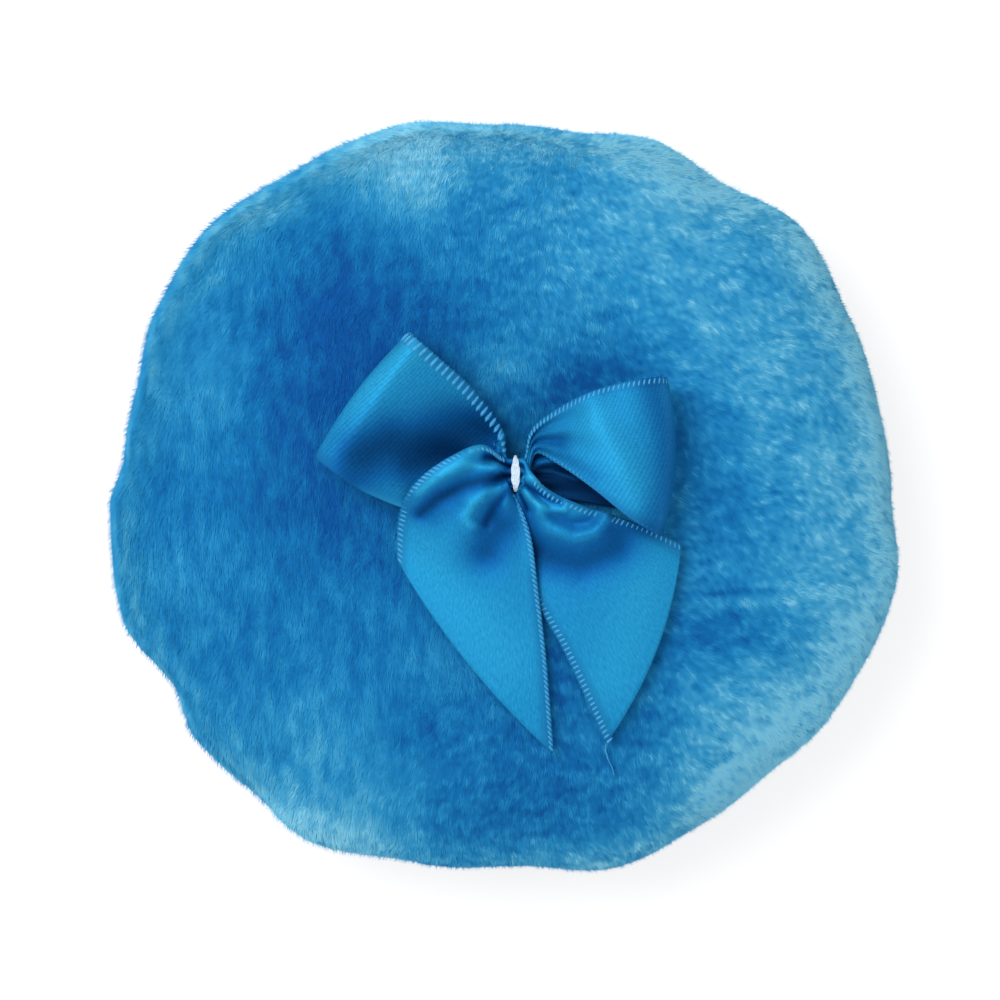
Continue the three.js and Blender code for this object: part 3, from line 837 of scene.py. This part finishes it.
tail_folds = {
    (0, 6.4): [
        ([(-0.6, 1.4), (-1.6, 2.4), (-3.2, 3), (-4.6, 2.4)], 0.5, 0.5, -0.3),
        ([(-0.6, 0.9), (-1.7, 1.7), (-3, 1.9)], -0.6, 0.5, 0.65),
        ([(-0.5, 0.3), (-2.8, 0.6), (-5.2, 1), (-8, -0.4), (-10, -2)], 0.5, 0.5, -0.35),
        ([(-0.5, -0.3), (-2.8, -0.6), (-5.2, -1.2), (-8, -2.5), (-9.8, -4)], -0.6, 1.05, 0.78),
        ([(-0.5, -1), (-3, -1.9), (-4.4, -3.2), (-5.2, -4.6), (-4.4, -5.4)], 0.8, 0.65, -0.4),
        ([(-0.6, -1.8), (-2.2, -3.4), (-3, -5)], -0.6, 0.6, 0.6),
        ([(-0.5, -1.7), (-1.2, -3.2)], 0.3, 0.3, -0.35),
        ([(-6.4, -3.4), (-8.2, -4.6)], -0.3, 1.4, 0.3),
        ([(-1.8, -5.4), (-3, -8)], -0.8, 2.5, 0.66),
        ([(0.3, -2.6), (1.4, -5), (1.8, -9)], 0, 0.7, -0.2),
        ([(-8.6, -9), (-6, -13), (-1.4, -19)], 0, 4, -0.14),
    ],
    (7.6, 14): [
        ([(0.6, -0.3), (3, -0.9), (6, -2)], 0.4, 0.4, -0.4),
        ([(0.6, -1), (2.6, -2.1), (4.6, -3)], -0.4, 0.4, 0.55),
        ([(0.6, -1.5), (1.8, -2.8), (3.4, -3.7), (5, -3.7)], 0.4, 0.35, -0.35),
        ([(0.4, -2), (1.2, -3.6)], -0.35, 0.3, 0.5),
        ([(2.4, -4.1), (3.6, -5.8), (6, -6.7), (8.2, -6.2), (9.4, -4.6)], 0.8, 0.8, -0.2),
        ([(3.6, -4.4), (6, -5.2), (8, -4.7)], -0.5, 0.8, 0.4),
        ([(2.4, -8.4), (6.8, -9.2), (10.4, -7.6)], -0.8, 2.5, 0.66),
        ([(10, -5.6), (14.4, -5.8)], 0, 1.2, 0.4),
        ([(1, -4.4), (1.8, -7.6)], -0.2, 1.3, 0.55),
        ([(13, -10.6), (12, -15), (10, -21)], 0, 3, -0.16),
    ],
}


def fold(points, shade, path, height, width, painted_shade_depth):
    path = np.array(path) * mm + (waist.x, waist.y)
    nearest = np.full(points.shape[:-1], np.inf)
    for start, end in zip(path, path[1:]):
        run = end - start
        share = np.clip(((points[..., :2] - start) @ run) / (run @ run), 0, 1)
        away = np.linalg.norm(points[..., :2] - start - share[..., None] * run, axis=-1)
        nearest = np.minimum(nearest, away)
    closeness = np.exp(-(nearest / (width * mm)) ** 2)
    points[..., 2] += height * mm * closeness
    # Painted shade near the path, or a painted highlight where the amount is negative.
    shade *= 1 - painted_shade_depth * closeness


def folded(rows, stretches):
    shade = np.ones(rows.shape[:2])
    for (first, last), folds in stretches.items():
        part = slice(int(first * rows_each), int(last * rows_each) + 1)
        for one_fold in folds:
            fold(rows[part], shade[part], *one_fold)
    return rows, shade


loop_rows = smooth_rows(neck_rows(1, 1) + bowed_rows(left_loop, left_bows)
                        + neck_rows(0, -1) + bowed_rows(right_loop, right_bows), True)
loop_rows, loop_light_and_shade = folded(loop_rows, loop_folds)
tail_rows = smooth_rows(bowed_rows(left_tail, left_tail_bows)[::-1] + neck_rows(2, -1)
                        + bowed_rows(right_tail, right_tail_bows), False)
tail_rows, tail_light_and_shade = folded(tail_rows, tail_folds)
for name, rows in (("loops", loop_rows), ("tails", tail_rows)):
    print(name, "are", round(distances(rows[:, columns // 2])[-1] / mm, 1), "mm of ribbon")

# %% [markdown]
# Laying the cloth
#
# The grid operator makes the faces, and its own coordinates say which row and column a point belongs
# to. They also become the UV map, in metres along and across the ribbon, so a weave drawn on that map
# follows every fold. Solidify then gives the cloth its thickness.

# %% A ribbon from its rows
ribbon_thickness = 0.22 * mm


def lay_ribbon(name, rows, shade):
    length, breadth = rows.shape[0] - 1, rows.shape[1] - 1
    distance = distances(rows[:, breadth // 2])
    bm = bmesh.new()
    bmesh.ops.create_grid(bm, x_segments=length, y_segments=breadth, size=1)

    def grid_place(x, y):
        return int(round((x + 1) / 2 * length)), int(round((y + 1) / 2 * breadth))

    weave = bm.loops.layers.uv.new("weave")
    dark = bm.verts.layers.float.new("shade")
    for face in bm.faces:
        for loop in face.loops:
            i, j = grid_place(loop.vert.co.x, loop.vert.co.y)
            loop[weave].uv = (distance[i], j / breadth * ribbon_width)
    for vert in bm.verts:
        i, j = grid_place(vert.co.x, vert.co.y)
        vert.co = rows[i, j]
        vert[dark] = shade[i, j]
    bmesh.ops.remove_doubles(bm, verts=bm.verts, dist=0.0001 * mm)
    piece = add_piece(name, bm)
    wall = piece.modifiers.new("thickness", "SOLIDIFY")
    wall.thickness = ribbon_thickness
    wall.offset = 0
    apply_modifiers(piece)
    print(name, "has", triangles(piece), "triangles")
    return piece


# %% [markdown]
# Satin
#
# Satin's face is long loose floats of yarn, so it is smooth along the ribbon and scatters across it:
# that is what anisotropy is for. A fine twill runs over it on a slant. The stitched selvedge is duller
# and darker than the middle, partly its weave and partly painted shade in the gaps between the
# stitches. Last, the folds' shade attribute paints shade into hollows and highlights onto ridges.

# %% The satin material
selvedge_and_gap_shade_colour = (0.017, 0.26, 0.52, 1)
brightest_painted_light = 1.5
twill_turn = 0.33


def new_satin(name, twill_depth):
    satin, tree, shader = new_material(name)
    weave = node(tree, "UVMap", {"uv_map": "weave"}).outputs["UV"]
    turned = node(tree, "Mapping", None, Vector=weave, Rotation=(0, 0, twill_turn)).outputs[0]
    twill = node(tree, "TexWave", None, Vector=turned, Scale=766, Distortion=0.8, Detail=1,
                 Detail_Scale=1500).outputs["Fac"]
    stretched = node(tree, "Mapping", None, Vector=weave, Scale=(1700, 6000, 1)).outputs[0]
    yarn = node(tree, "TexNoise", None, Vector=stretched, Scale=1, Detail=2).outputs["Fac"]
    bump = node(tree, "Bump", None, Height=twill, Strength=2 * twill_depth, Distance=0.00002)
    bump = node(tree, "Bump", None, Height=yarn, Strength=0.25, Distance=0.00002, Normal=bump.outputs[0])
    floats = node(tree, "Tangent", {"direction_type": "UV_MAP", "uv_map": "weave"})

    colour = ramp(tree, yarn, [(0.3, (0.017, 0.33, 0.62)), (0.7, (0.031, 0.45, 0.79))])
    colour = mixed(tree, 1.0, colour, ramp(tree, twill, [(0.0, (1 - twill_depth,) * 3), (1.0, (1, 1, 1))]))
    breadth = node(tree, "SeparateXYZ", None, i0=weave).outputs["Y"]
    from_middle = math_node(tree, "ABSOLUTE", math_node(tree, "SUBTRACT", breadth, ribbon_width / 2))
    edge = node(tree, "MapRange", None, Value=from_middle, From_Min=ribbon_width / 2 - 1.4 * mm,
                From_Max=ribbon_width / 2 - 0.4 * mm).outputs[0]
    # Darker selvedge band: partly its duller weave, partly painted shade in the gaps between stitches.
    colour = mixed(tree, edge, colour, selvedge_and_gap_shade_colour, "MIX")
    # The shade attribute paints shade into hollows and valleys; above 1 it paints highlights on ridges and
    # rolls.
    shade = math_node(tree, "MULTIPLY", attribute_node(tree, "shade"), 1 / brightest_painted_light)
    colour = mixed(tree, 1.0, colour, ramp(tree, shade, [
        (0.0, (0.002, 0.014, 0.07)), (0.33, (0.16, 0.33, 0.58)), (0.67, (0.62, 0.76, 0.88)),
        (1.0, (1.5, 1.25, 1.15)),
    ]))
    set_inputs(tree, shader, Base_Color=colour, Normal=bump.outputs[0], Tangent=floats.outputs[0],
               Metallic=0.4, Roughness=0.6, Specular_IOR_Level=0.15, Specular_Tint=(0.4, 0.8, 1, 1),
               Anisotropic=0.6, Anisotropic_Rotation=0.25)
    return satin


# %% Both ribbons
loops = lay_ribbon("bow_loops", loop_rows, loop_light_and_shade)
tails = lay_ribbon("bow_tails", tail_rows, tail_light_and_shade)
loops.data.materials.append(new_satin("loop satin", 0.2))
tails.data.materials.append(new_satin("tail satin", 0.03))

# %% [markdown]
# Stitched selvedges
#
# Both edges of the ribbon are whipped with thread: a ladder of short slanted stitches with small gaps
# between them. Each stitch is a stretched ball with few faces, placed at even steps along the edge.

# %% Stitches along the selvedges
stitch_pitch = 0.53 * mm
stitch_size = np.array((0.17, 0.55, 0.16)) * mm
stitch_slant = 0.3
darkest_stitched = 0.3
bound_radius = 2.2 * mm


def selvedge_stitches(name, rows, shade, sizes):
    bm = bmesh.new()
    for edge, inner, side_sizes in ((0, 4, sizes[0]), (-1, -5, sizes[1])):
        line = rows[:, edge]
        distance = distances(line)

        def sample(values, where):
            return np.stack([np.interp(where, distance, values[:, k]) for k in range(3)], axis=1)

        places = [stitch_pitch / 2]
        while places[-1] < distance[-1] - stitch_pitch:
            on_right = np.interp(places[-1], distance, line[:, 0]) > waist.x
            places.append(places[-1] + stitch_pitch * max(1, side_sizes[int(on_right)]))
        places = np.array(places)
        along = unit(sample(line, places + 0.1 * mm) - sample(line, places - 0.1 * mm))
        into = unit(unit(sample(rows[:, inner] - line, places)) + stitch_slant * along)
        out = unit(np.cross(along, into))
        light = np.interp(places, distance, shade[:, edge])
        for place, x, y, z, lit in zip(sample(line, places), np.cross(into, out), into, out, light):
            if lit < darkest_stitched or np.hypot(place[0] - waist.x, place[1] - waist.y) < bound_radius:
                continue
            size = side_sizes[int(place[0] > waist.x)]
            centre = place + y * (stitch_size[1] - 0.12 * mm) * size
            stretched = np.column_stack((np.stack((x, y, z), axis=1) * stitch_size * size, centre))
            bmesh.ops.create_uvsphere(bm, u_segments=6, v_segments=5, radius=1,
                                      matrix=Matrix([*stretched, (0, 0, 0, 1)]))
    return add_piece(name, bm)


def fibre_material(name, scale, dark, light, **inputs):
    material, tree, shader = new_material(name)
    fibres = noise_node(tree, Scale=scale, Detail=2)
    colour = ramp(tree, fibres, [(0.3, dark), (0.7, light)])
    set_inputs(tree, shader, Base_Color=colour, **inputs)
    return material


loop_stitches = selvedge_stitches("bow_loop_stitches", loop_rows, loop_light_and_shade, ((1.45, 0.95), (0.6, 0.7)))
tail_stitches = selvedge_stitches("bow_tail_stitches", tail_rows, tail_light_and_shade, ((1, 0.9), (1, 1)))
stitch_thread = fibre_material("selvedge thread", 2500, (0.022, 0.28, 0.58), (0.04, 0.37, 0.7),
                               Roughness=0.5)
for piece in (loop_stitches, tail_stitches):
    piece.data.materials.append(stitch_thread)
    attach(piece, "root")
print("stitches:", triangles(loop_stitches) + triangles(tail_stitches), "triangles")

for ribbon, node_name, length, stitches in (
        (loops, "bow_loop_ribbon", 0.081, loop_stitches), (tails, "bow_tail_ribbon", 0.049, tail_stitches)):
    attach(ribbon, "root")
    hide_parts(node_name)

# %% [markdown]
# Threads
#
# A sewing thread is two plies twisted together. Each ply is a thin tube that winds round the thread's
# path, so a close look finds real strands. The binding is seven turns round the waist, spread over the
# front and bunched at the sides.

# %% Twisted thread
plies = 2


def twisted(path, closed, radius, lay_length):
    path = np.array(path)
    ahead = np.roll(path, -1, axis=0) - path
    behind = path - np.roll(path, 1, axis=0)
    if not closed:
        ahead[-1], behind[0] = behind[-1], ahead[0]
    heading = unit(ahead + behind)
    distance = distances(path)
    turns = distance / lay_length
    if closed:
        whole = distance[-1] + np.linalg.norm(path[0] - path[-1])
        turns = distance / whole * max(1, round(whole / lay_length))
    side = np.cross(heading[0], (0.3, 0.5, 0.8))
    sides = []
    for way in heading:
        side = side - way * (side @ way)
        side = side / np.linalg.norm(side)
        sides.append(side)
    sides = np.array(sides)
    ups = np.cross(heading, sides)
    angles = [2 * np.pi * (turns + ply / plies)[:, None] for ply in range(plies)]
    return [path + radius * 0.5 * (sides * np.cos(angle) + ups * np.sin(angle)) for angle in angles]


def thread_piece(name, paths, closed, radius, lay_length=0.9 * mm):
    curve = bpy.data.curves.new(name, "CURVE")
    curve.dimensions = "3D"
    curve.bevel_depth = radius * 0.56
    curve.bevel_resolution = 2
    curve.use_fill_caps = True
    for path in paths:
        for ply in twisted(path, closed, radius, lay_length):
            spline = curve.splines.new("POLY")
            spline.points.add(len(ply) - 1)
            spline.points.foreach_set("co", np.column_stack((ply, np.ones(len(ply)))).ravel())
            spline.use_cyclic_u = closed
    wound = link_object(name, curve)
    mesh = bpy.data.meshes.new_from_object(wound.evaluated_get(bpy.context.evaluated_depsgraph_get()))
    bpy.data.objects.remove(wound)
    mesh.shade_smooth()
    return link_object(name, mesh)


# %% The binding
binding_thickness = 0.35 * mm
crown_at_waist = crown_height(waist.x, waist.y)
binding_middle = crown_at_waist + waist_lift + layer_step
half_span = waist_width / 2 + 0.1 * mm + binding_thickness / 2
half_rise = (2 * layer_step + pleat_depth + 0.63 * mm) / 2 + clearance + binding_thickness / 2


def binding_turn(number):
    turn = np.linspace(0, 2 * np.pi, 97)[:-1]
    out, up = (np.sign(wave) * np.abs(wave) ** 0.5 for wave in (np.cos(turn), np.sin(turn)))
    spread = 1.05 - 0.95 * out ** 2
    return np.stack((waist.x + number * 0.11 * mm * spread,
                     waist.y + out * (half_span + 0.04 * mm * (number % 2)),
                     binding_middle + up * (half_rise + 0.05 * mm * (number % 2))), axis=1)


binding = thread_piece("bow_binding", [binding_turn(number) for number in range(-3, 4)], True,
                       0.13 * mm, lay_length=2.4 * mm)
# The thread is white; its blue tint paints the blue light that satin and plush throw back on it.
white_thread_with_blue_bounce = fibre_material("white thread", 4000, (0.55, 0.7, 0.86), (0.74, 0.85, 0.96), Roughness=0.6,
                              Sheen_Weight=0.3)
binding.data.materials.append(white_thread_with_blue_bounce)
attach(binding, "root")
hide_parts("bow_binding_thread")
print("binding:", triangles(binding), "triangles")

# %% [markdown]
# The loose end
#
# Where the right tail was cut, one thread of its edge hangs out: a twisted thread on a short path over
# the plush.

# %% A loose end
tail_tip = np.array((waist.x + 9.4 * mm, waist.y - 27.8 * mm))
loose_run = [(0, 0, 1), (-0.1, -0.8, 0.7), (0.15, -1.7, 0.5), (0.6, -2.6, 0.4), (0.8, -3.4, 0.3)]
loose_path = []
for right, up, lift in loose_run:
    x, y = tail_tip + np.array((right, up)) * mm
    loose_path.append((x, y, crown_height(x, y) + lift * mm))
loose_end = thread_piece("bow_loose_end", [loose_path], False, 0.08 * mm)
loose_end.data.materials.append(stitch_thread)
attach(loose_end, "root")
print("loose end:", triangles(loose_end), "triangles")

# %% [markdown]
# The seam
#
# Inside the rim a running stitch joins the two turned-in edges: down through a hole, along below,
# up through the next, along above. The last stretch was left open to turn the puff right side out
# and fill it, and was closed by hand with a second thread in the same holes.

# %% Seam threads
seam_radius = puff_radius - cover_thickness - seam_allowance / 2
stitch_lift = 1.65 * mm
stitch_count = 38
closing_start, closing_end = 24, 30
loose_share = 0.35


def running_stitch(first, last):
    corners = []
    for hole in range(first, last + 1):
        start = seam_height + (stitch_lift if hole % 2 == 0 else -stitch_lift)
        end = 2 * seam_height - start
        if hole == first:
            corners.append((hole - loose_share, start))
        corners += [(hole, start), (hole, end)]
        corners.append((hole + (loose_share if hole == last else 0.5), end))
    corners = np.array(corners)
    steps = np.linspace(0, len(corners) - 1, 8 * (len(corners) - 1) + 1)
    turn, height = (np.interp(steps, np.arange(len(corners)), corners[:, k]) for k in range(2))
    turn = turn / stitch_count * 2 * np.pi
    return gathered(np.stack((seam_radius * np.cos(turn), seam_radius * np.sin(turn), height), axis=1))


blue_thread = fibre_material("blue thread", 3500, (0.01, 0.12, 0.36), (0.03, 0.24, 0.52), Roughness=0.55)
for name, first, last in (("seam_thread", closing_end, closing_start + stitch_count - 1),
                          ("closing_thread", closing_start, closing_end - 1)):
    thread = thread_piece(name + "_twisted", [running_stitch(first, last)], False, 0.2 * mm)
    thread.data.materials.append(blue_thread)
    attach(thread, "root")
    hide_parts(name)
    print(name, "has", triangles(thread), "triangles")

# %% [markdown]
# The tack stitch
#
# One strong stitch holds the bow: down through the cover, round under its lining where it is knotted,
# and up again. Pulling it tight is what draws the crown in under the bow.

# %% Tack thread
tack_span = 2 * mm
knot_radius = 0.8 * mm
calm_lining = crown_at_waist - cover_thickness
lining_at_tuft = calm_lining - tuft_depth * np.sqrt((calm_lining - seam_height) / crown_rise)
low = lining_at_tuft - clearance
high = binding_middle - half_rise - binding_thickness / 2 - clearance
half = tack_span / 2
under = np.pi + np.linspace(0, np.pi, 13)
tack_path = [(waist.x, waist.y - half, z) for z in np.linspace(high, low, 12, endpoint=False)]
tack_path += [(waist.x, waist.y + half * np.cos(turn), low + half * np.sin(turn)) for turn in under]
tack_path += [(waist.x, waist.y + half, z) for z in np.linspace(low, high, 13)[1:]]
knot_turn = np.linspace(0, 4 * np.pi, 80)
knot_out = 0.55 * knot_radius * (0.62 + 0.3 * np.cos(1.5 * knot_turn))
knot_path = np.column_stack((waist.x + knot_out * np.cos(knot_turn), waist.y + knot_out * np.sin(knot_turn),
                             low - half + 0.5 * knot_radius * np.sin(1.5 * knot_turn)))
tack = thread_piece("bow_tack", [tack_path, knot_path], False, 0.2 * mm)
tack.data.materials.append(white_thread_with_blue_bounce)
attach(tack, "root")
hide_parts("bow_tack_thread")
print("tack:", triangles(tack), "triangles")

# %% [markdown]
# The wadding
#
# The filling is a soft ball of polyester fibre that takes the lining's form, grooved where the seam
# allowances press into it and hollowed under the knot. It is spun like the covers, and noise at two
# sizes then makes it lumpy.

# %% Filling pad
pad_clearance = 0.6 * mm
groove_edge = stitch_lift + 0.2 * mm + clearance
pad_depth = cover_thickness + pad_clearance
hollow_radius = 3.4 * mm
hollow_depth = 3 * mm


def pad_side(side, rise, fullness):
    return arc(puff_radius - pad_depth, side * (rise - pad_depth), fullness, groove_edge, 36)


groove_radius = puff_radius - cover_thickness - seam_allowance - pad_clearance
pad_profile = pad_side(1, crown_rise, crown_fullness)
pad_profile += [(groove_radius, seam_height + side * groove_edge) for side in (1, -1)]
pad_profile += pad_side(-1, underside_drop, underside_fullness)[::-1]
pad_bm = spun(pad_profile, 180)


def fluffed(places):
    places = gathered(places)
    lumps = 0.3 * ripple(places, 4 * mm, 11) + 0.2 * ripple(places, 1.3 * mm, 12) - 0.3
    middle = np.array((0, 0, seam_height))
    away = places - middle
    places = middle + away * (1 + lumps * 0.6 * mm / np.maximum(np.linalg.norm(away, axis=1), mm))[:, None]
    near = np.hypot(places[:, 0] - waist.x, places[:, 1] - waist.y) / hollow_radius
    on_top = places[:, 2] > seam_height + groove_edge
    places[:, 2] -= np.where(on_top, hollow_depth * np.exp(-near ** 4), 0)
    return places


move_points(pad_bm, fluffed)
bmesh.ops.recalc_face_normals(pad_bm, faces=pad_bm.faces)
pad = add_piece("filling_pad_wadding", pad_bm)
wadding, tree, shader = new_material("white wadding")
fluff = noise_node(tree, Scale=500, Detail=6, Roughness=0.7)
bump = node(tree, "Bump", None, Height=fluff, Strength=0.6, Distance=0.0005)
colour = ramp(tree, fluff, [(0.3, (0.72, 0.73, 0.74)), (0.7, (0.86, 0.87, 0.87))])
set_inputs(tree, shader, Base_Color=colour, Normal=bump.outputs[0], Roughness=0.95, Sheen_Weight=0.4)
pad.data.materials.append(wadding)
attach(pad, "root")
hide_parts("filling_pad")
print("pad:", triangles(pad), "triangles")
